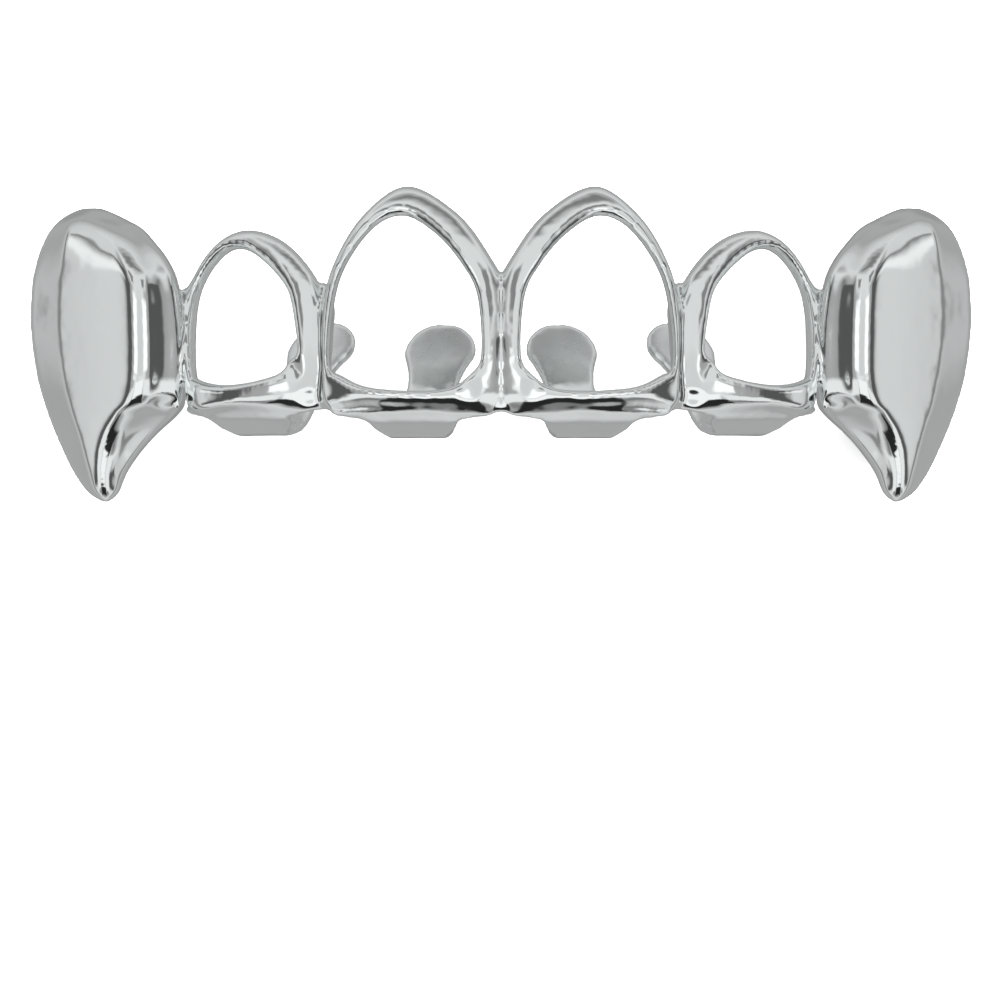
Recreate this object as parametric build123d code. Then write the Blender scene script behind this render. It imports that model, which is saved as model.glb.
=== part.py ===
from build123d import *
import os

# Upper row of a slip-on tooth cover, cast in one piece and plated: a hollow fang cap over each
# canine tooth, an open frame round each of the four incisors, and behind each frame a plate that
# goes back under the tooth's edge and turns up into a rounded holding tab.
# The row lies on its back, face up: +X across the row, +Y towards the gum, +Z out of the face.
# Lengths are millimetres, angles degrees. The left half is made, and the right half mirrors it.

# Open frame of a central incisor
CENTRAL_WIDTH = 9.0
CENTRAL_HEIGHT = 11.24
CENTRAL_YAW = 9.0
CENTRAL_BOW = 1.1
CENTRAL_TAB_LEAN = 0.35

# Open frame of a lateral incisor
LATERAL_WIDTH = 8.0
LATERAL_HEIGHT = 9.0
LATERAL_YAW = 26.0
LATERAL_BOW = 1.0
LATERAL_TAB_LEAN = 0.8
LATERAL_PLATE_ASIDE = 0.35
LATERAL_DROP = 0.4
LATERAL_RISE = 0.15

# What both frames share: the cast bar, the lean of the tooth's face, its curve up the tooth with
# the crown as a share of the height, and the power of its curve across
BAND_WIDTH = 1.4
FRAME_DEPTH = 1.05
FACE_PITCH = 10.0
FACE_RADIUS = 22.0
FACE_CROWN = 0.33
BOW_POWER = 2.5
LAP = 0.2

# Plate under the tooth's edge and the tab behind the tooth
SHEET = 0.5
TAB_REACH = 7.4
TAB_HEIGHT = 5.4
TAB_WIDTH = 3.4

# Fang cap
FANG_WIDTH = 7.7
FANG_HEIGHT = 14.9
FANG_DEPTH = 8.9
FANG_REACH = 4.6
FANG_DROP = 0.5
FANG_GROOVE = 0.15
FANG_WALL = 0.6
FANG_TUCK = 0.6
REST_FLAT = 0.75

# Frame outlines, a row for each station round the bar, from the arch's top over the side towards
# the row's middle: the outer edge across as a share of half the width and up as a share of the
# height, and from there the inner edge across and up as shares of the bar's width at the top
CENTRAL_STATIONS = [
    (-0.14, 1.00, 0.00, -1.00),
    (0.42, 0.87, -0.57, -0.76),
    (0.77, 0.705, -0.82, -0.54),
    (0.98, 0.53, -0.95, -0.21),
    (0.985, 0.26, -0.77, 0.00),
    (0.99, 0.03, -1.08, 1.01),
    (0.34, 0.00, -0.02, 0.48),
    (-0.42, 0.01, 0.08, 0.47),
    (-0.98, 0.03, 0.66, 0.89),
    (-0.995, 0.20, 0.27, 0.15),
    (-1.015, 0.48, 0.42, 0.03),
    (-0.895, 0.675, 0.42, -0.17),
    (-0.60, 0.875, 0.44, -0.45),
]
LATERAL_STATIONS = [
    (-0.23, 1.00, -0.06, -0.66),
    (0.24, 0.93, -0.45, -0.72),
    (0.635, 0.775, -0.80, -0.61),
    (0.85, 0.60, -1.02, -0.26),
    (0.95, 0.33, -0.95, -0.09),
    (0.97, 0.03, -1.33, 1.05),
    (0.40, 0.005, -0.07, 0.93),
    (-0.20, 0.00, -0.04, 0.71),
    (-0.86, 0.00, 0.42, 0.95),
    (-1.00, 0.24, 0.34, 0.08),
    (-1.12, 0.60, 0.46, -0.01),
    (-0.95, 0.81, 0.30, -0.33),
    (-0.62, 0.955, 0.17, -0.49),
]
STATION_STEPS = 4

# Section of the bar: across from its outer to its inner edge, and down from its crest
BAR_SECTION = [
    (0.15, 1.00),
    (0.00, 0.45),
    (0.12, 0.14),
    (0.38, 0.00),
    (0.66, 0.00),
    (0.88, 0.15),
    (1.00, 0.45),
    (0.82, 1.00),
]

# Stations along the sheet: back as a share of the tab's reach, up as a share of the tab's height,
# half width as shares of half the frame's and of half the tab's width, and the share of the lean
SHEET_STATIONS = [
    (0.070, 0.04, 0.92, 0.00, 0.00),
    (0.110, 0.01, 0.85, 0.00, 0.00),
    (0.140, -0.02, 0.40, 0.65, 0.00),
    (0.165, -0.04, 0.10, 1.05, 0.00),
    (0.270, -0.085, 0.00, 1.13, 0.00),
    (0.365, -0.12, 0.00, 1.07, 0.00),
    (0.450, -0.10, 0.00, 1.02, 0.00),
    (0.570, -0.02, 0.00, 0.97, 0.00),
    (0.700, 0.16, 0.00, 0.82, 0.10),
    (0.800, 0.37, 0.00, 0.70, 0.30),
    (0.865, 0.56, 0.00, 0.80, 0.60),
    (0.920, 0.73, 0.00, 1.00, 0.85),
    (0.960, 0.87, 0.00, 0.88, 1.00),
    (0.985, 0.96, 0.00, 0.58, 1.10),
    (1.000, 1.00, 0.00, 0.20, 1.20),
]
SHEET_ACROSS = [-1.0, -0.5, 0.0, 0.5, 1.0]

# Sections of the fang cap from the tip to the gum. Up is a share of the height, out a share of the
# width from the groove beside the lateral frame, back a share of the depth from the ridge.
# Each section runs over the inner edge, the ridge, the face's outer edge, the side and the rear.
FANG_SECTIONS = [
    # up, inner out and back, ridge out and back, face out and back, side out and back, rears back
    (0.010, 0.485, 0.34, 0.50, 0.31, 0.51, 0.33, 0.52, 0.36, 0.38, 0.36),
    (0.047, 0.43, 0.34, 0.52, 0.27, 0.59, 0.31, 0.635, 0.42, 0.45, 0.40),
    (0.114, 0.39, 0.35, 0.52, 0.21, 0.61, 0.30, 0.73, 0.48, 0.55, 0.46),
    (0.185, 0.31, 0.35, 0.48, 0.16, 0.65, 0.33, 0.805, 0.55, 0.66, 0.51),
    (0.249, 0.21, 0.33, 0.41, 0.10, 0.68, 0.36, 0.855, 0.60, 0.75, 0.52),
    (0.300, 0.09, 0.26, 0.29, 0.06, 0.71, 0.37, 0.90, 0.61, 0.90, 0.51),
    (0.345, 0.00, 0.18, 0.20, 0.03, 0.75, 0.39, 0.93, 0.62, 1.00, 0.48),
    (0.435, 0.00, 0.15, 0.28, 0.00, 0.78, 0.40, 0.97, 0.63, 1.00, 0.48),
    (0.586, 0.01, 0.15, 0.28, 0.00, 0.80, 0.40, 1.00, 0.63, 1.00, 0.48),
    (0.734, 0.08, 0.18, 0.31, 0.01, 0.78, 0.40, 0.99, 0.63, 1.00, 0.48),
    (0.815, 0.16, 0.25, 0.38, 0.05, 0.75, 0.43, 0.97, 0.64, 0.95, 0.53),
    (0.889, 0.25, 0.36, 0.48, 0.16, 0.70, 0.45, 0.92, 0.64, 0.89, 0.57),
    (0.950, 0.34, 0.46, 0.57, 0.31, 0.67, 0.44, 0.83, 0.64, 0.82, 0.62),
    (0.995, 0.51, 0.58, 0.60, 0.48, 0.64, 0.55, 0.70, 0.66, 0.75, 0.68),
]
FANG_STEPS = 2
FANG_SECTION_STEPS = 4

# Hollow of the cap: where it starts and ends up the height, how far it is cut on past the cap's
# rear as a share of the depth, and how far each corner of its sections lies inside the cap's own
# corner, out and back, as shares of the wall
HOLLOW_FLOOR = 0.40
HOLLOW_TOP = 0.93
PAST_REAR = 0.5
HOLLOW_INSETS = [(1.0, 0.5), (0.0, 1.2), (-0.6, 0.8), (-1.0, 0.0), (-1.0, 0.0), (1.0, 0.0)]


def blend(before, start, end, after, share):
    """One value on a smooth curve that runs from start to end."""
    turn = (end - before) / 2
    leave = (after - start) / 2
    square = share * share
    cube = square * share
    return (
        (2 * cube - 3 * square + 1) * start
        + (cube - 2 * square + share) * turn
        + (3 * square - 2 * cube) * end
        + (cube - square) * leave
    )


def smooth(rows, steps, closed):
    """The rows with evenly spaced rows added between them on smooth curves."""
    count = len(rows)
    last = count - 1
    result = []
    for i in range(count if closed else last):
        if closed:
            near = [rows[(i + k) % count] for k in (-1, 0, 1, 2)]
        else:
            near = [rows[min(max(i + k, 0), last)] for k in (-1, 0, 1, 2)]
        for step in range(steps):
            result.append(tuple(blend(*values, step / steps) for values in zip(*near)))
    if not closed:
        result.append(tuple(rows[-1]))
    return result


def skin(sections, closed):
    """A faceted solid over sections of as many points each, in a loop or with two flat ends."""
    faces = []
    count = len(sections[0])

    def facet(*corners):
        faces.append(Face(Wire.make_polygon(corners, close=True)))

    pairs = list(zip(sections, sections[1:]))
    if closed:
        pairs.append((sections[-1], sections[0]))
    for near, far in pairs:
        for i in range(count):
            j = (i + 1) % count
            facet(near[i], near[j], far[j])
            facet(near[i], far[j], far[i])
    if not closed:
        for section in (sections[0][::-1], sections[-1]):
            for i in range(count // 2 - 1):
                j = count - 1 - i
                facet(section[i], section[i + 1], section[j - 1])
                facet(section[i], section[j - 1], section[j])
    return Solid(Shell(faces))


def seat(side_point, width, yaw):
    """The plane of a tooth's face: x across, y up the tooth, z outward, zero at its lower edge."""
    across = Vector(1, 0, 0).rotate(Axis.Y, -yaw)
    outward = Vector(0, 0, 1).rotate(Axis.X, -FACE_PITCH).rotate(Axis.Y, -yaw)
    return Plane(origin=side_point - across * width / 2, x_dir=across, z_dir=outward)


def face_height(across, up, width, height, bow):
    """How far the crest of the face stands out from the plane of its sides."""
    side_share = min(1, abs(across) / (width / 2))
    from_crown = up - FACE_CROWN * height
    return bow * (1 - side_share**BOW_POWER) - from_crown**2 / (2 * FACE_RADIUS)


def frame(plane, stations, width, height, bow):
    """The bar of an open frame, a loop of rounded sections round the tooth's face."""
    sections = []
    for across, up, in_across, in_up in smooth(stations, STATION_STEPS, True):
        section = []
        for share, down in BAR_SECTION:
            u = across * width / 2 + share * in_across * BAND_WIDTH
            v = up * height + share * in_up * BAND_WIDTH
            w = face_height(u, v, width, height, bow) - down * FRAME_DEPTH
            section.append(plane.from_local_coords(Vector(u, v, w)))
        sections.append(section)
    return skin(sections, True)


def sheet(plane, width, height, bow, aside, tab_lean):
    """The plate that goes back from the frame's lower bar and turns up into the holding tab."""
    line = [
        (
            back * TAB_REACH,
            up * TAB_HEIGHT,
            (plate * width + tab * TAB_WIDTH) / 2,
            lean * tab_lean - aside,
        )
        for back, up, plate, tab, lean in SHEET_STATIONS
    ]
    outer_face = [(side, SHEET / 2) for side in SHEET_ACROSS]
    inner_face = [(side, -SHEET / 2) for side in reversed(SHEET_ACROSS)]
    sections = []
    for i, (back, up, half, middle) in enumerate(line):
        before = line[max(i - 1, 0)]
        after = line[min(i + 1, len(line) - 1)]
        normal = Vector(after[1] - before[1], after[0] - before[0]).normalized()
        section = []
        for side, off in outer_face + inner_face:
            u = middle + side * half
            v = up + off * normal.Y
            w = face_height(u, 0, width, height, bow) - back + off * normal.X
            section.append(plane.from_local_coords(Vector(u, v, w)))
        sections.append(section)
    return skin(sections, False)


def fang_section(row, groove, tip_height, wall, behind):
    """A level section of the cap, or of its hollow when the wall and the way behind are set."""
    up, inner_out, inner_back, ridge_out, ridge_back, face_out, face_back = row[:7]
    side_out, side_back, rear_back, inner_rear_back = row[7:]
    rear_out = side_out - FANG_TUCK * (rear_back - side_back) * FANG_DEPTH / FANG_WIDTH
    corners = [
        (inner_out, inner_back),
        (ridge_out, ridge_back),
        (face_out, face_back),
        (side_out, side_back),
        (rear_out, rear_back + behind),
        (inner_out, inner_rear_back + behind),
    ]
    turns = [
        (
            out * FANG_WIDTH + inset_out * wall,
            (back - FANG_GROOVE) * FANG_DEPTH + inset_back * wall,
        )
        for (out, back), (inset_out, inset_back) in zip(corners, HOLLOW_INSETS)
    ]
    return [
        Vector(groove.X - out, tip_height + up * FANG_HEIGHT, groove.Z - back)
        for out, back in smooth(turns, FANG_SECTION_STEPS, True)
    ]


def fang_cap(groove, tip_height):
    """The hollow cap over a canine tooth, whose lower end runs out into the solid fang."""
    rows = smooth(FANG_SECTIONS, FANG_STEPS, False)
    outside = skin([fang_section(row, groove, tip_height, 0, 0) for row in rows], False)
    inside = [row for row in rows if HOLLOW_FLOOR <= row[0] <= HOLLOW_TOP]
    hollow = [fang_section(row, groove, tip_height, FANG_WALL, PAST_REAR) for row in inside]
    return outside - skin(hollow, False)


def beyond(point, yaw, direction):
    """All space on one side of the upright plane through a point, turned back by an angle."""
    far = 2 * FANG_HEIGHT
    space = Pos(direction * far / 2, 0, 0) * Box(far, 2 * far, 2 * far)
    return Pos(point.X, 0, point.Z) * Rot(0, -yaw, 0) * space


def left_half():
    """The casting left of the row's middle, where each two neighbours meet in an upright plane."""
    middle = Vector(0, 0, 0)
    central = seat(middle + Vector(LAP / 2, 0, 0), CENTRAL_WIDTH, CENTRAL_YAW)
    central_side = central.from_local_coords(Vector(-CENTRAL_WIDTH / 2, 0, 0))
    lateral_side = central_side + Vector(LAP, LATERAL_RISE, -LATERAL_DROP)
    lateral = seat(lateral_side, LATERAL_WIDTH, LATERAL_YAW)
    groove = lateral.from_local_coords(Vector(-LATERAL_WIDTH / 2, 0, 0)) + Vector(LAP, 0, -FANG_DROP)

    joint = (central_side + lateral_side) / 2
    joint_yaw = (CENTRAL_YAW + LATERAL_YAW) / 2
    central_frame = (
        frame(central, CENTRAL_STATIONS, CENTRAL_WIDTH, CENTRAL_HEIGHT, CENTRAL_BOW)
        - beyond(middle, 0, 1)
        - beyond(joint, joint_yaw, -1)
    )
    lateral_frame = frame(
        lateral, LATERAL_STATIONS, LATERAL_WIDTH, LATERAL_HEIGHT, LATERAL_BOW
    ) - beyond(joint, joint_yaw, 1)
    frames = central_frame + lateral_frame
    sheets = [
        sheet(central, CENTRAL_WIDTH, CENTRAL_HEIGHT, CENTRAL_BOW, 0, CENTRAL_TAB_LEAN),
        sheet(
            lateral,
            LATERAL_WIDTH,
            LATERAL_HEIGHT,
            LATERAL_BOW,
            LATERAL_PLATE_ASIDE,
            LATERAL_TAB_LEAN,
        ),
    ]
    return frames + sheets + fang_cap(groove, -FANG_REACH)


def upper_row():
    """The whole casting, ground flat at its rear rims and set down on them."""
    half = left_half()
    whole = half + mirror(half, about=Plane.YZ)
    box = whole.bounding_box()
    floor = box.min.Z + REST_FLAT
    below = Pos(0, box.center().Y, floor - FANG_DEPTH / 2) * Box(
        2 * box.size.X, 2 * box.size.Y, FANG_DEPTH
    )
    whole = whole - below
    return Pos(0, -box.center().Y, -floor) * whole


os.makedirs("parts", exist_ok=True)
export_step(upper_row(), "parts/upper_row.step")
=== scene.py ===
"""Looks of a slip-on upper tooth cover: four open frames and two fang caps, cast in one piece."""

import math

import bmesh
import bpy
from mathutils import Euler, Matrix, Vector


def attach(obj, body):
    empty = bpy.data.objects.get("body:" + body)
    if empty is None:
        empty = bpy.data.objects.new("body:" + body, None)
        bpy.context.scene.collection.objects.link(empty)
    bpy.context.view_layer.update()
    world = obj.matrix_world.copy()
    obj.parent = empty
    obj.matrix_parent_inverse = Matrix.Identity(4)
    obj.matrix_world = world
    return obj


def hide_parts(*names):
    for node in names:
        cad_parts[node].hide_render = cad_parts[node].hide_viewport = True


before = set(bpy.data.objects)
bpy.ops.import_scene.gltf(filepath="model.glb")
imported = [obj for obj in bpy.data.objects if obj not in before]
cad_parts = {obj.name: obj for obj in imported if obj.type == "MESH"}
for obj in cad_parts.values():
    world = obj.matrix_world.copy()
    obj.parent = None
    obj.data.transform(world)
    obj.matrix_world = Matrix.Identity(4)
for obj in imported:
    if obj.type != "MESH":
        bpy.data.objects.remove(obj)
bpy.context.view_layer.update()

# Central frames: an open arch round each central incisor. Cast in one bar whose front is rounded
# and whose flanks go straight back, lightly crowned over the tooth's face. Sizes in millimetres.
MM = 0.001
ROW_SET_UP = 12.6855
ROW_SET_BACK = -3.251
CENTRAL_WIDTH = 9.0
CENTRAL_HEIGHT = 11.24
CENTRAL_YAW = 9.0
CENTRAL_BOW = 1.1
BAND_WIDTH = 1.4
FRAME_DEPTH = 1.05
FACE_PITCH = 10.0
FACE_RADIUS = 22.0
FACE_CROWN = 0.33
BOW_POWER = 2.5
LAP = 0.2
OUTLINE_STEPS = 8
SECTION_STEPS = 4

# A row for each station round the bar, from the arch's top over the side towards the row's middle:
# the outer edge across and up, the way from there to the inner edge in widths of the bar, and how
# far the bar's front falls away towards its outer edge
CENTRAL_OUTLINE = [
    (-0.14, 1.005, 0.00, -1.14, 0.00),
    (0.42, 0.88, -0.63, -0.86, 0.00),
    (0.77, 0.705, -0.82, -0.54, 0.00),
    (0.98, 0.53, -0.95, -0.21, 0.00),
    (0.985, 0.26, -0.77, 0.00, 0.00),
    (0.99, 0.03, -1.08, 1.10, 0.30),
    (0.34, 0.00, -0.02, 0.72, 0.42),
    (-0.42, 0.01, 0.08, 0.70, 0.42),
    (-0.98, 0.03, 0.66, 1.07, 0.25),
    (-0.995, 0.20, 0.27, 0.15, 0.00),
    (-1.015, 0.48, 0.42, 0.03, 0.00),
    (-0.895, 0.675, 0.42, -0.17, 0.00),
    (-0.60, 0.875, 0.44, -0.45, 0.00),
]

# The bar's section: across from its outer to its inner edge, and down from its crest
BAR_SECTION = [
    (0.20, 1.00),
    (0.02, 0.75),
    (0.00, 0.42),
    (0.10, 0.12),
    (0.30, 0.01),
    (0.50, 0.00),
    (0.70, 0.01),
    (0.90, 0.12),
    (1.00, 0.42),
    (0.97, 0.75),
    (0.80, 1.00),
    (0.50, 1.04),
]


def smooth(rows, steps, closed):
    """The rows with evenly spaced rows added between them on smooth curves."""
    last = len(rows) - 1
    result = []
    for i in range(len(rows) if closed else last):
        if closed:
            near = [rows[(i + k) % len(rows)] for k in (-1, 0, 1, 2)]
        else:
            near = [rows[min(max(i + k, 0), last)] for k in (-1, 0, 1, 2)]
        for step in range(steps):
            t = step / steps
            result.append([
                b + (c - a) / 2 * t
                + (a - 5 * b / 2 + 2 * c - d / 2) * t * t
                + (3 * b / 2 - a / 2 - 3 * c / 2 + d / 2) * t ** 3
                for a, b, c, d in zip(*near)
            ])
    if not closed:
        result.append(list(rows[-1]))
    return result


def skin(name, sections, closed):
    """A closed mesh over sections of as many points each, in a loop or with two ends."""
    mesh = bmesh.new()
    rings = [[mesh.verts.new(point * MM) for point in section] for section in sections]
    pairs = list(zip(rings, rings[1:]))
    if closed:
        pairs.append((rings[-1], rings[0]))
    for near, far in pairs:
        for i in range(len(near)):
            j = (i + 1) % len(near)
            mesh.faces.new((near[i], near[j], far[j], far[i]))
    if not closed:
        for ring in (rings[0][::-1], rings[-1]):
            for i in range(len(ring) // 2 - 1):
                j = len(ring) - 1 - i
                mesh.faces.new((ring[i], ring[i + 1], ring[j - 1], ring[j]))
    bmesh.ops.recalc_face_normals(mesh, faces=mesh.faces)
    data = bpy.data.meshes.new(name)
    mesh.to_mesh(data)
    mesh.free()
    piece = bpy.data.objects.new(name, data)
    bpy.context.collection.objects.link(piece)
    return piece


def seat(side_point, width, yaw):
    """The place of a tooth's face: x across, y up the tooth, z outward, zero at its lower edge."""
    turn = Euler((math.radians(-FACE_PITCH), math.radians(-yaw), 0)).to_matrix().to_4x4()
    across = turn.col[0].to_3d()
    return Matrix.Translation(side_point - across * width / 2) @ turn


def face_height(across, up, width, height, bow):
    """How far the crest of the face stands out from the plane of its sides."""
    side_share = min(1, abs(across) / (width / 2))
    from_crown = up - FACE_CROWN * height
    return bow * (1 - side_share ** BOW_POWER) - from_crown ** 2 / (2 * FACE_RADIUS)


def open_frame(name, place, outline, width, height, bow):
    """The bar of an open frame, a loop of rounded sections round the tooth's face."""
    profile = smooth(BAR_SECTION, SECTION_STEPS, True)
    sections = []
    for across, up, in_across, in_up, fall in smooth(outline, OUTLINE_STEPS, True):
        section = []
        for share, down in profile:
            u = across * width / 2 + share * in_across * BAND_WIDTH
            v = up * height + share * in_up * BAND_WIDTH
            lower = down + fall * (1 - share) ** 2 * max(0, 1 - down)
            w = face_height(u, v, width, height, bow) - lower * FRAME_DEPTH
            section.append(place @ Vector((u, v, w)))
        sections.append(section)
    return skin(name, sections, True)


middle = Vector((LAP / 2, ROW_SET_BACK, ROW_SET_UP))
central = seat(middle, CENTRAL_WIDTH, CENTRAL_YAW)
castings = [
    open_frame("central_frame", central, CENTRAL_OUTLINE, CENTRAL_WIDTH, CENTRAL_HEIGHT, CENTRAL_BOW)
]

# Lateral frames: a smaller open arch round each lateral incisor, turned further back, its bar
# widest and flattest beside the central frame. Cast against the central frame's flank.
LATERAL_WIDTH = 8.0
LATERAL_HEIGHT = 9.0
LATERAL_YAW = 26.0
LATERAL_BOW = 1.0
LATERAL_STEP = Vector((LAP, 0.15, -0.4))
LATERAL_OUTLINE = [
    (-0.23, 1.00, -0.06, -0.76, 0.00),
    (0.24, 0.93, -0.50, -0.84, 0.00),
    (0.635, 0.775, -0.80, -0.61, 0.00),
    (0.85, 0.60, -1.02, -0.26, 0.00),
    (0.95, 0.33, -0.95, -0.09, 0.00),
    (0.97, 0.03, -1.25, 1.50, 0.30),
    (0.40, 0.005, -0.07, 1.12, 0.14),
    (-0.20, 0.00, -0.04, 0.82, 0.05),
    (-0.86, 0.00, 0.42, 1.05, 0.05),
    (-1.00, 0.24, 0.34, 0.08, 0.00),
    (-1.12, 0.60, 0.46, -0.01, 0.00),
    (-0.95, 0.81, 0.30, -0.33, 0.00),
    (-0.62, 0.955, 0.17, -0.49, 0.00),
]
lateral_side = central @ Vector((-CENTRAL_WIDTH / 2, 0, 0)) + LATERAL_STEP
lateral = seat(lateral_side, LATERAL_WIDTH, LATERAL_YAW)
castings.append(
    open_frame("lateral_frame", lateral, LATERAL_OUTLINE, LATERAL_WIDTH, LATERAL_HEIGHT, LATERAL_BOW)
)

# Incisal plates and holding tabs: behind each frame a plate goes back under the tooth's edge and
# turns up into a rounded lobe that grips the tooth from behind. Cast with the frame, even in gauge.
SHEET = 0.5
TAB_REACH = 7.4
TAB_HEIGHT = 5.55
TAB_WIDTH = 3.55
CENTRAL_TAB_LEAN = 0.35
LATERAL_TAB_LEAN = 0.8
LATERAL_PLATE_ASIDE = 0.35
SHEET_STEPS = 6

# Back as a share of the tab's reach, up as a share of its height, half width as shares of half
# the frame's and half the tab's, and the share of the lean
SHEET_LINE = [
    (0.070, 0.04, 0.92, 0.00, 0.00),
    (0.110, 0.01, 0.85, 0.00, 0.00),
    (0.140, -0.02, 0.40, 0.65, 0.00),
    (0.165, -0.04, 0.10, 1.05, 0.00),
    (0.270, -0.085, 0.00, 1.13, 0.00),
    (0.365, -0.12, 0.00, 0.87, 0.00),
    (0.450, -0.10, 0.00, 0.87, 0.00),
    (0.570, -0.02, 0.00, 0.90, 0.00),
    (0.700, 0.16, 0.00, 0.82, 0.10),
    (0.800, 0.37, 0.00, 0.70, 0.30),
    (0.865, 0.56, 0.00, 0.80, 0.60),
    (0.920, 0.73, 0.00, 1.00, 0.85),
    (0.960, 0.87, 0.00, 0.88, 1.00),
    (0.985, 0.96, 0.00, 0.58, 1.10),
    (1.000, 1.00, 0.00, 0.20, 1.20),
]

# Half of the sheet's section, from edge to edge: aside as a share of half its width, and off its
# middle as a share of half its gauge, less at the rounded edges
SHEET_SECTION = [
    (-1.0, 0.4),
    (-0.97, 0.85),
    (-0.93, 1.0),
    (-0.6, 1.0),
    (-0.3, 1.0),
    (0.0, 1.0),
    (0.3, 1.0),
    (0.6, 1.0),
    (0.93, 1.0),
    (0.97, 0.85),
    (1.0, 0.4),
]


def plate_and_tab(name, place, width, height, bow, aside, tab_lean):
    """The plate that goes back from the frame's lower bar and turns up into the holding tab."""
    line = [
        (
            back * TAB_REACH,
            up * TAB_HEIGHT,
            (plate * width + tab * TAB_WIDTH) / 2,
            lean * tab_lean - aside,
        )
        for back, up, plate, tab, lean in smooth(SHEET_LINE, SHEET_STEPS, False)
    ]
    outer_face = [(side, thick * SHEET / 2) for side, thick in SHEET_SECTION]
    inner_face = [(side, -off) for side, off in reversed(outer_face)]
    sections = []
    for i, (back, up, half, centre) in enumerate(line):
        before = line[max(i - 1, 0)]
        after = line[min(i + 1, len(line) - 1)]
        normal = Vector((after[1] - before[1], after[0] - before[0])).normalized()
        section = []
        for side, off in outer_face + inner_face:
            u = centre + side * half
            v = up + off * normal.y
            w = face_height(u, 0, width, height, bow) - back + off * normal.x
            section.append(place @ Vector((u, v, w)))
        sections.append(section)
    return skin(name, sections, False)


castings.append(
    plate_and_tab(
        "central_plate", central, CENTRAL_WIDTH, CENTRAL_HEIGHT, CENTRAL_BOW, 0, CENTRAL_TAB_LEAN
    )
)
castings.append(
    plate_and_tab(
        "lateral_plate",
        lateral,
        LATERAL_WIDTH,
        LATERAL_HEIGHT,
        LATERAL_BOW,
        LATERAL_PLATE_ASIDE,
        LATERAL_TAB_LEAN,
    )
)

# Fang caps: a hollow cap over each canine tooth, cast with a nearly flat face, a ridge and a
# hollowed inner flank, open to the rear; below the tooth it runs out into a solid curved fang.
FANG_WIDTH = 7.7
FANG_HEIGHT = 14.9
FANG_DEPTH = 8.9
FANG_WALL = 0.6
FANG_STEPS = 10

# How far the tip reaches below the frames, how far back the groove beside the lateral frame lies,
# at which share of the cap's depth, and how far the side draws in for each millimetre back
FANG_REACH = 4.6
FANG_DROP = 0.5
FANG_GROOVE = 0.15
FANG_TUCK = 0.6

# How far the rounding of each corner reaches along its sides, and at most in shares of a side
CORNER_REACH = [0.35, 0.75, 0.25, 0.45, 0.15, 0.15]
CORNER_LIMIT = 0.46
CORNER_STEPS = 6
SIDE_STEPS = 14

# How far each side of the section bows out as a share of its length, the inner flank first; a side
# below zero is hollow
SIDE_SWELLS = [-0.05, 0.012, 0.0, 0.03, 0.0, 0.0]

# Up as a share of the height, then out as a share of the width and back as a share of the depth
# for the inner edge, the ridge, the face's outer edge and the side, and back for both rear edges
FANG_SECTIONS = [
    (0.014, 0.475, 0.34, 0.50, 0.315, 0.51, 0.322, 0.53, 0.36, 0.38, 0.36),
    (0.047, 0.415, 0.34, 0.51, 0.265, 0.58, 0.32, 0.635, 0.42, 0.45, 0.40),
    (0.114, 0.37, 0.35, 0.51, 0.225, 0.61, 0.30, 0.735, 0.48, 0.55, 0.46),
    (0.185, 0.28, 0.35, 0.495, 0.19, 0.65, 0.31, 0.81, 0.55, 0.66, 0.51),
    (0.249, 0.17, 0.33, 0.455, 0.15, 0.685, 0.328, 0.865, 0.60, 0.75, 0.52),
    (0.300, 0.06, 0.27, 0.39, 0.095, 0.715, 0.345, 0.905, 0.61, 0.90, 0.51),
    (0.345, 0.00, 0.18, 0.32, 0.035, 0.74, 0.361, 0.935, 0.62, 1.00, 0.48),
    (0.435, 0.00, 0.135, 0.285, 0.004, 0.775, 0.386, 0.985, 0.63, 1.00, 0.48),
    (0.586, 0.00, 0.135, 0.285, 0.002, 0.80, 0.403, 1.025, 0.63, 1.00, 0.48),
    (0.734, 0.04, 0.15, 0.30, 0.022, 0.795, 0.405, 1.02, 0.63, 1.00, 0.48),
    (0.815, 0.105, 0.20, 0.36, 0.084, 0.785, 0.413, 0.99, 0.64, 0.95, 0.53),
    (0.880, 0.20, 0.29, 0.41, 0.17, 0.77, 0.412, 0.945, 0.64, 0.90, 0.57),
    (0.925, 0.28, 0.38, 0.525, 0.28, 0.755, 0.428, 0.895, 0.645, 0.87, 0.585),
    (0.955, 0.38, 0.48, 0.63, 0.39, 0.735, 0.47, 0.84, 0.65, 0.82, 0.62),
    (0.982, 0.485, 0.56, 0.61, 0.50, 0.67, 0.56, 0.765, 0.655, 0.77, 0.66),
    (0.996, 0.555, 0.61, 0.61, 0.58, 0.65, 0.62, 0.69, 0.66, 0.73, 0.69),
]

# The hollow runs from its floor to its top, as shares of the height, and goes on past the rear, as a
# share of the depth. Its corners are inset across and back in widths of the wall.
HOLLOW_FLOOR = 0.40
HOLLOW_TOP = 0.93
PAST_REAR = 0.12
HOLLOW_INSETS = [(1.0, 0.5), (0.0, 1.2), (-0.6, 0.8), (-1.0, 0.0), (-1.0, 0.0), (1.0, 0.0)]


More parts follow.
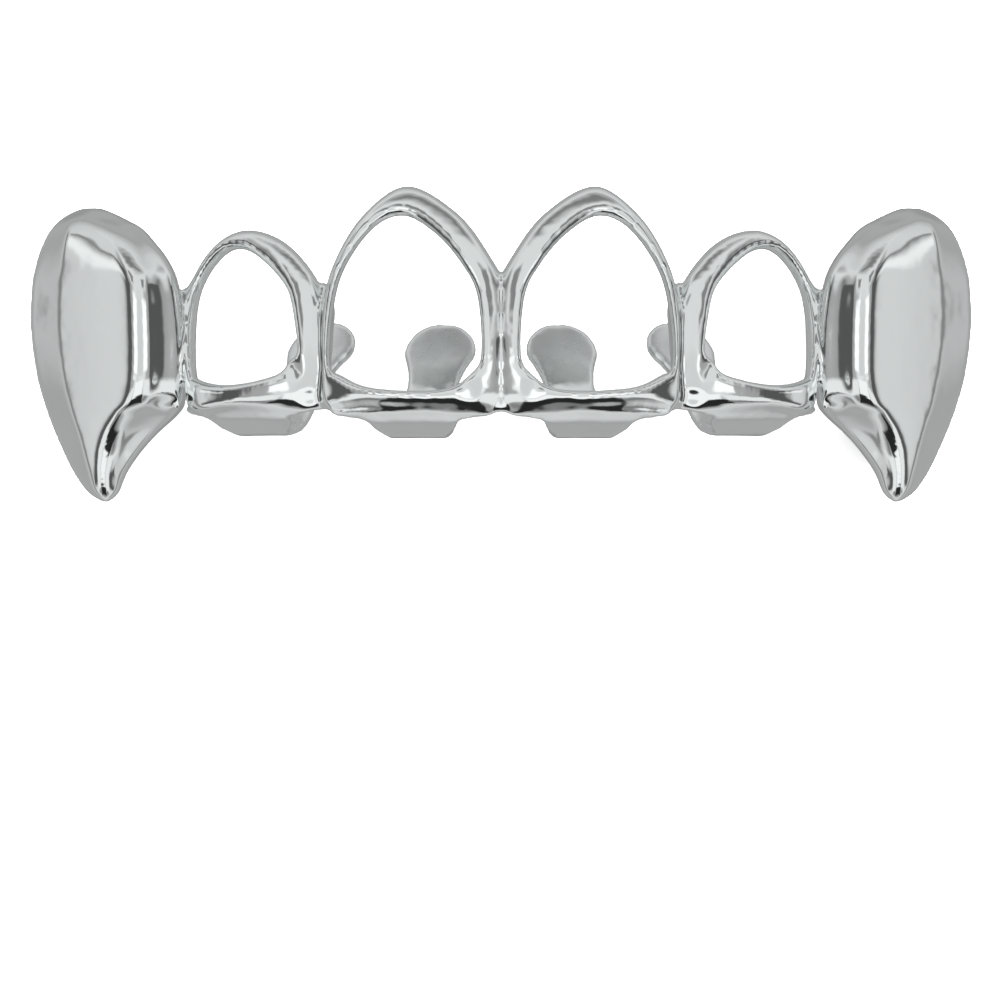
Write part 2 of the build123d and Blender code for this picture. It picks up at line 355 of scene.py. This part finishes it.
def fang_section(row, groove, wall, behind):
    """A level section of the cap, or of its hollow when the wall and the way behind are set."""
    up, inner_out, inner_back, ridge_out, ridge_back, face_out, face_back = row[:7]
    side_out, side_back, rear_back, inner_rear_back = row[7:]
    tucked = rear_back + behind - side_back
    rear_out = side_out - FANG_TUCK * tucked * FANG_DEPTH / FANG_WIDTH
    corners = [
        (inner_out, inner_back),
        (ridge_out, ridge_back),
        (face_out, face_back),
        (side_out, side_back),
        (rear_out, rear_back + behind),
        (inner_out, inner_rear_back + behind),
    ]
    turns = [
        Vector((
            out * FANG_WIDTH + inset_out * wall,
            (back - FANG_GROOVE) * FANG_DEPTH + inset_back * wall,
        ))
        for (out, back), (inset_out, inset_back) in zip(corners, HOLLOW_INSETS)
    ]
    starts = []
    ends = []
    for i, turn in enumerate(turns):
        for near, reached in ((turns[i - 1], starts), (turns[(i + 1) % len(turns)], ends)):
            share = min(CORNER_LIMIT, CORNER_REACH[i] / (near - turn).length)
            reached.append(turn.lerp(near, share))
    rounded = []
    for i, turn in enumerate(turns):
        for step in range(CORNER_STEPS):
            t = step / CORNER_STEPS
            rounded.append(starts[i].lerp(turn, t).lerp(turn.lerp(ends[i], t), t))
        near, far = ends[i], starts[(i + 1) % len(turns)]
        outward = Vector((far.y - near.y, near.x - far.x)) * SIDE_SWELLS[i]
        for step in range(SIDE_STEPS):
            t = step / SIDE_STEPS
            rounded.append(near.lerp(far, t) + outward * 4 * t * (1 - t))
    height = groove.y - LATERAL_STEP.y - FANG_REACH + up * FANG_HEIGHT
    return [Vector((groove.x - out, height, groove.z - back)) for out, back in rounded]


def keep_from(piece, cutter):
    """Cuts the second mesh out of the first and deletes the cutter."""
    cut = piece.modifiers.new("cut", "BOOLEAN")
    cut.operation = "DIFFERENCE"
    cut.solver = "EXACT"
    cut.object = cutter
    graph = bpy.context.evaluated_depsgraph_get()
    piece.data = bpy.data.meshes.new_from_object(piece.evaluated_get(graph))
    piece.modifiers.clear()
    bpy.data.objects.remove(cutter)


groove = lateral @ Vector((-LATERAL_WIDTH / 2, 0, 0)) + Vector((LAP, 0, -FANG_DROP))
fang_rows = smooth(FANG_SECTIONS, FANG_STEPS, False)
fang = skin("fang_cap", [fang_section(row, groove, 0, 0) for row in fang_rows], False)
hollow_rows = [row for row in fang_rows if HOLLOW_FLOOR <= row[0] <= HOLLOW_TOP]
hollow = skin(
    "hollow", [fang_section(row, groove, FANG_WALL, PAST_REAR) for row in hollow_rows], False
)
keep_from(fang, hollow)

# The rims end a little below the level at which they are ground flat later. Sizes in metres.
GROUND_SIZE = 0.1
RIM_SPARE = 0.0003
bpy.ops.mesh.primitive_cube_add(size=GROUND_SIZE, location=(0, 0, -GROUND_SIZE / 2 - RIM_SPARE))
keep_from(fang, bpy.context.object)
castings.append(fang)

# Cast seams: a thin raised bead of metal fills the groove between each two neighbours and widens
# at its upper end into a small web. Cast with the row.
SEAM_STEPS = 20
SEAM_SIDES = 12
SEAM_TAPER = 0.4
SEAM_TIP = 0.02
SEAM_RADIUS = 0.22
WEB_RADIUS = 0.4
WEB_SHARE = 0.25

# The seam's place, how far to the side at its foot and its top, how far up and how deep
SEAMS = [
    (central, 4.38, 4.42, 7.0, 0.56),
    (lateral, 3.72, 3.15, 6.45, 0.58),
    (lateral, -4.38, -4.42, 6.3, 0.55),
]
for number, (place, side_low, side_top, top, depth) in enumerate(SEAMS):
    rings = []
    for step in range(SEAM_STEPS + 1):
        v = top * step / SEAM_STEPS
        web = max(0, 1 - (1 - v / top) / WEB_SHARE)
        side = side_low + (side_top - side_low) * web
        taper = min(1, (top - v) / SEAM_TAPER, v / SEAM_TAPER) ** 0.5
        radius = max(SEAM_TIP, taper * (SEAM_RADIUS + (WEB_RADIUS - SEAM_RADIUS) * web))
        ring = []
        for k in range(SEAM_SIDES):
            turn = 2 * math.pi * k / SEAM_SIDES
            u = side + radius * math.cos(turn)
            w = radius * math.sin(turn) - depth
            ring.append(place @ Vector((u, v, w)))
        rings.append(ring)
    castings.append(skin(f"seam_{number}", rings, False))

# The casting: the left half and its mirror image are one body, fused with small cast fillets where
# they meet, ground flat at the caps' rear rims and polished.
bpy.ops.object.select_all(action="DESELECT")
for piece in castings:
    piece.select_set(True)
bpy.context.view_layer.objects.active = castings[0]
bpy.ops.object.join()
row = castings[0]
row.name = "cast_row"
mesh = bmesh.new()
mesh.from_mesh(row.data)
other = bmesh.ops.duplicate(mesh, geom=mesh.verts[:] + mesh.edges[:] + mesh.faces[:])
other_faces = [item for item in other["geom"] if isinstance(item, bmesh.types.BMFace)]
for item in other["geom"]:
    if isinstance(item, bmesh.types.BMVert):
        item.co.x = -item.co.x
bmesh.ops.reverse_faces(mesh, faces=other_faces)
mesh.to_mesh(row.data)
mesh.free()

# Fused in a grain that stands square to the teeth's faces, then polished
GRAIN = 0.115
POLISH = 0.5
POLISH_PASSES = 10
level = Matrix.Rotation(math.radians(FACE_PITCH), 4, "X")
row.data.transform(level)
fuse = row.modifiers.new("fuse", "REMESH")
fuse.mode = "VOXEL"
fuse.voxel_size = GRAIN * MM
polish = row.modifiers.new("polish", "SMOOTH")
polish.factor = POLISH
polish.iterations = POLISH_PASSES
graph = bpy.context.evaluated_depsgraph_get()
row.data = bpy.data.meshes.new_from_object(row.evaluated_get(graph))
row.modifiers.clear()

# Thinned out mostly where it faces the table, apart from the rims, and least of all at the fangs'
# tips, which are polished longer. Places in millimetres.
TIP_SIDE = 16.0
TIP_TOP = -4.0
TIP_PASSES = 20
EVEN_PASSES = 3
RIM_TOP = 1.2
SHOWN_WEIGHT = 0.1
HIDDEN_SHARE = 10.0
MOST_TRIANGLES = 190000
hidden = row.vertex_groups.new(name="hidden")
tips = row.vertex_groups.new(name="tips")
for vertex in row.data.vertices:
    x, y, z = (value / MM for value in level.inverted() @ vertex.co)
    below = min(1, max(0, TIP_TOP - y))
    if abs(x) > TIP_SIDE and below > 0:
        tips.add([vertex.index], below, "REPLACE")
    rear = vertex.normal.z < 0 and z > RIM_TOP and below == 0
    weight = 1.0 if rear else SHOWN_WEIGHT * (1 - below)
    hidden.add([vertex.index], weight, "REPLACE")
triangles = sum(len(polygon.vertices) - 2 for polygon in row.data.polygons)
thin = row.modifiers.new("thin", "DECIMATE")
thin.ratio = MOST_TRIANGLES / triangles
thin.vertex_group = "hidden"
thin.vertex_group_factor = HIDDEN_SHARE
even = row.modifiers.new("even", "SMOOTH")
even.factor = POLISH
even.iterations = EVEN_PASSES
finish = row.modifiers.new("finish", "SMOOTH")
finish.factor = POLISH
finish.iterations = TIP_PASSES
finish.vertex_group = "tips"
graph = bpy.context.evaluated_depsgraph_get()
row.data = bpy.data.meshes.new_from_object(row.evaluated_get(graph))
row.modifiers.clear()
row.vertex_groups.clear()
row.data.transform(level.inverted())

# Sink marks where the metal is thickest: across and up, half width, half height and depth
FRONT = 5.0
DENTS = [
    (1.55, -2.10, 0.80, 0.75, 0.12),
    (10.0, -1.10, 0.55, 0.85, 0.12),
    (9.3, -2.55, 0.75, 0.55, 0.10),
    (16.5, -2.75, 0.85, 0.50, 0.18),
]
for vertex in row.data.vertices:
    x, y, z = (value / MM for value in vertex.co)
    if z > FRONT:
        for aside, up, half_width, half_height, depth in DENTS:
            away = ((abs(x) - aside) / half_width) ** 2 + ((y - up) / half_height) ** 2
            if away < 1:
                z -= depth * (1 - away) ** 2
    vertex.co.z = z * MM

# The rear rims are ground flat at the level of the table
mesh = bmesh.new()
mesh.from_mesh(row.data)
ground = bmesh.ops.bisect_plane(
    mesh,
    geom=mesh.verts[:] + mesh.edges[:] + mesh.faces[:],
    plane_co=(0, 0, 0),
    plane_no=(0, 0, 1),
    clear_inner=True,
)
rims = [item for item in ground["geom_cut"] if isinstance(item, bmesh.types.BMEdge)]
bmesh.ops.triangle_fill(mesh, edges=rims, use_beauty=True)
mesh.to_mesh(row.data)
mesh.free()
for polygon in row.data.polygons:
    polygon.use_smooth = True
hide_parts("upper_row")
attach(row, "root")

# Plating: bright white metal over the polished casting, mirror smooth with faint casting waves,
# hairline polishing marks and a slightly duller film in patches.
PLATING_COLOUR = (0.83, 0.86, 0.855, 1)
MIRROR_ROUGHNESS = 0.05
FILM_ROUGHNESS = 0.06
REAR_ROUGHNESS = 0.2
WAVE_SCALE = 450.0
WAVE_DETAIL = 2.0
HAIRLINE_SCALE = 9000.0
HAIRLINE_DETAIL = 2.0
HAIRLINE_HEIGHT = 0.004
FILM_SCALE = 1200.0
FILM_DETAIL = 4.0
RELIEF_STRENGTH = 0.16
RELIEF_DISTANCE = 0.0002

# Between the caps the casting is wavier, and behind its frames duller too: how far to each side,
# and the levels from which and below which it is dull, in metres
FRAMES_SIDE = 0.0145
FRAMES_WAVES = 2
REAR_FROM = 0.0072
REAR_BELOW = 0.0058


def set_stops(ramp, stops):
    """Gives a ramp its greys, each a place from 0 to 1 and a light."""
    ramp.interpolation = "EASE"
    while len(ramp.elements) < len(stops):
        ramp.elements.new(0.5)
    for element, (place, light) in zip(ramp.elements, stops):
        element.position = place
        element.color = (light, light, light, 1)


class Socket:
    """A value in a material, which can be used in plain arithmetic."""

    def __init__(self, tree, link):
        self.tree = tree
        self.link = link

    def node(self, kind, settings=None, **inputs):
        """A new node. An input is given by its name, or by its number after an underscore."""
        node = self.tree.nodes.new(kind)
        for name, value in (settings or {}).items():
            if name == "stops":
                set_stops(node.color_ramp, value)
            else:
                setattr(node, name, value)
        for name, value in inputs.items():
            socket = node.inputs[int(name[1:])] if name[1:].isdigit() else node.inputs[name]
            if isinstance(value, Socket):
                self.tree.links.new(value.link, socket)
            else:
                socket.default_value = value
        return node

    def maths(self, operation, first, second):
        """The result of a step of arithmetic."""
        node = self.node("ShaderNodeMath", {"operation": operation}, _0=first, _1=second)
        return Socket(self.tree, node.outputs[0])

    def __add__(self, other):
        return self.maths("ADD", self, other)

    def __radd__(self, other):
        return self.maths("ADD", other, self)

    def __sub__(self, other):
        return self.maths("SUBTRACT", self, other)

    def __rsub__(self, other):
        return self.maths("SUBTRACT", other, self)

    def __mul__(self, other):
        return self.maths("MULTIPLY", self, other)

    def __rmul__(self, other):
        return self.maths("MULTIPLY", other, self)


plating = bpy.data.materials.new("plating")
plating.use_nodes = True
tree = plating.node_tree
shader = tree.nodes["Principled BSDF"]
shader.inputs["Metallic"].default_value = 1.0
shader.inputs["Base Color"].default_value = PLATING_COLOUR
start = Socket(tree, None)
place = Socket(tree, start.node("ShaderNodeTexCoord").outputs["Object"])


def noise(scale, detail):
    """Even noise over the piece, with about so many grains to a metre."""
    grains = start.node("ShaderNodeTexNoise", _0=place, Scale=scale, Detail=detail)
    return Socket(tree, grains.outputs["Fac"])


waves = noise(WAVE_SCALE, WAVE_DETAIL)
hairlines = noise(HAIRLINE_SCALE, HAIRLINE_DETAIL)
film = noise(FILM_SCALE, FILM_DETAIL)
x_part, _, z_part = start.node("ShaderNodeSeparateXYZ", _0=place).outputs
aside = start.maths("ABSOLUTE", Socket(tree, x_part), 0.0)
between = start.maths("LESS_THAN", aside, FRAMES_SIDE)
levels = start.node(
    "ShaderNodeMapRange",
    {"interpolation_type": "SMOOTHSTEP"},
    _0=Socket(tree, z_part),
    _1=REAR_FROM,
    _2=REAR_BELOW,
)
behind = Socket(tree, levels.outputs["Result"])
roughness = MIRROR_ROUGHNESS + FILM_ROUGHNESS * film + REAR_ROUGHNESS * between * behind
tree.links.new(roughness.link, shader.inputs["Roughness"])
relief = start.node(
    "ShaderNodeBump",
    Height=waves * (1 + FRAMES_WAVES * between) + HAIRLINE_HEIGHT * hairlines,
    Strength=RELIEF_STRENGTH,
    Distance=RELIEF_DISTANCE,
)
tree.links.new(relief.outputs["Normal"], shader.inputs["Normal"])
row.data.materials.clear()
row.data.materials.append(plating)

# The studio: a white table inside a soft light tent. The polished metal mirrors the tent, whose
# light overhead, grey walls and light and dark panels draw its bright and dark streaks.
TABLE_SIZE = 1.2
TABLE_WHITE = (0.9, 0.9, 0.9, 1)
TABLE_ROUGHNESS = 0.8

# The tent's walls and floor: how far up, from -1 straight down to 1 straight up, and the light
TENT_WALLS = [
    (-1.0, 0.30),
    (-0.70, 0.44),
    (-0.45, 0.42),
    (-0.22, 0.56),
    (-0.05, 0.68),
    (0.12, 0.74),
    (0.28, 0.44),
    (0.42, 0.22),
    (0.60, 0.38),
    (0.78, 0.45),
    (0.90, 0.85),
    (0.97, 0.76),
    (1.0, 0.72),
]

# A dark gap along the foot of both side walls: how far up, along, and the softness of the edges
GAP_UP = (-0.13, 0.025, 0.06)
GAP_ALONG = (-0.18, 0.52, 0.20)
GAP_LIGHT = (0.26, 0.26, 0.26, 1)

# Panels in the tent as seen from straight below, alike on both sides: middle to the side and
# along, half width, half length, the softness of the edge, and the light
TENT_PANELS = [
    (0.0, 0.55, 0.60, 0.16, 0.15, 0.80),
    (0.87, 0.0, 0.06, 0.41, 0.05, 0.10),
    (0.62, -0.42, 0.16, 0.14, 0.08, 0.92),
    (0.0, -0.72, 0.42, 0.13, 0.05, 0.02),
    (0.45, 0.50, 0.08, 0.08, 0.07, 0.26),
    (0.45, 0.05, 0.13, 0.12, 0.08, 1.2),
    (0.0, -0.38, 0.34, 0.14, 0.06, 1.05),
    (0.99, 0.38, 0.03, 0.14, 0.07, 1.0),
]
bpy.ops.mesh.primitive_plane_add(size=TABLE_SIZE, location=(0, 0, 0))
table = bpy.context.object
table.name = "table"

# The metal doesn't mirror the table itself: the tent's floor stands for it
table.visible_glossy = False
white = bpy.data.materials.new("white_table")
white.use_nodes = True
paint = white.node_tree.nodes["Principled BSDF"]
paint.inputs["Base Color"].default_value = TABLE_WHITE
paint.inputs["Roughness"].default_value = TABLE_ROUGHNESS
table.data.materials.append(white)

tent = bpy.data.worlds.new("tent")
tent.use_nodes = True
tree = tent.node_tree
sky = Socket(tree, None)
direction = Socket(tree, sky.node("ShaderNodeTexCoord").outputs["Generated"])
parts = sky.node("ShaderNodeSeparateXYZ", _0=direction).outputs
across, along, up = (Socket(tree, part) for part in parts)
walls = [((height + 1) / 2, light) for height, light in TENT_WALLS]
ramp = sky.node("ShaderNodeValToRGB", {"stops": walls}, _0=0.5 * up + 0.5)
shade = Socket(tree, ramp.outputs["Color"])


def inside(value, middle, half, soft):
    """One within half a width of the middle, falling softly to nothing past it."""
    off = sky.maths("ABSOLUTE", value - middle, 0.0)
    fall = sky.node(
        "ShaderNodeMapRange", {"interpolation_type": "SMOOTHSTEP"}, _0=off, _1=half + soft, _2=half
    )
    return Socket(tree, fall.outputs["Result"])


gap = inside(up, *GAP_UP) * inside(along, *GAP_ALONG)
mix = sky.node("ShaderNodeMix", {"data_type": "RGBA"}, _0=gap, _6=shade, _7=GAP_LIGHT)
shade = Socket(tree, mix.outputs[2])
overhead = sky.maths("GREATER_THAN", up, 0.0)
to_side = sky.maths("ABSOLUTE", across, 0.0)
for middle_side, middle_along, half_width, half_length, soft, light in TENT_PANELS:
    share = inside(to_side, middle_side, half_width, soft)
    share = share * inside(along, middle_along, half_length, soft) * overhead
    mix = sky.node(
        "ShaderNodeMix", {"data_type": "RGBA"}, _0=share, _6=shade, _7=(light, light, light, 1)
    )
    shade = Socket(tree, mix.outputs[2])
tree.links.new(shade.link, tree.nodes["Background"].inputs["Color"])
bpy.context.scene.world = tent
bpy.context.scene.view_settings.view_transform = "Standard"

# Two broad lamps whiten the table; the metal doesn't mirror them
LAMP_PLACES = [(-0.25, 0.25, 0.5), (0.25, 0.1, 0.5)]
LAMP_POWER = 9.0
LAMP_SIZE = 0.4
for number, lamp_place in enumerate(LAMP_PLACES):
    lamp_data = bpy.data.lights.new(f"lamp_{number}", "AREA")
    lamp_data.energy = LAMP_POWER
    lamp_data.size = LAMP_SIZE
    lamp = bpy.data.objects.new(f"lamp_{number}", lamp_data)
    lamp.location = lamp_place
    lamp.rotation_euler = (-Vector(lamp_place)).to_track_quat("-Z", "Y").to_euler()
    lamp.visible_glossy = False
    bpy.context.collection.objects.link(lamp)

# The camera looks straight down on the row as it lies on its back
CAMERA_PLACE = (-0.00005, -0.0075, 0.3084)
LENS = 221.8
SENSOR_WIDTH = 36
NEAREST = 0.01
camera_data = bpy.data.cameras.new("camera")
camera_data.lens = LENS
camera_data.sensor_width = SENSOR_WIDTH
camera_data.clip_start = NEAREST
camera = bpy.data.objects.new("camera", camera_data)
camera.location = CAMERA_PLACE
bpy.context.collection.objects.link(camera)
bpy.context.scene.camera = camera
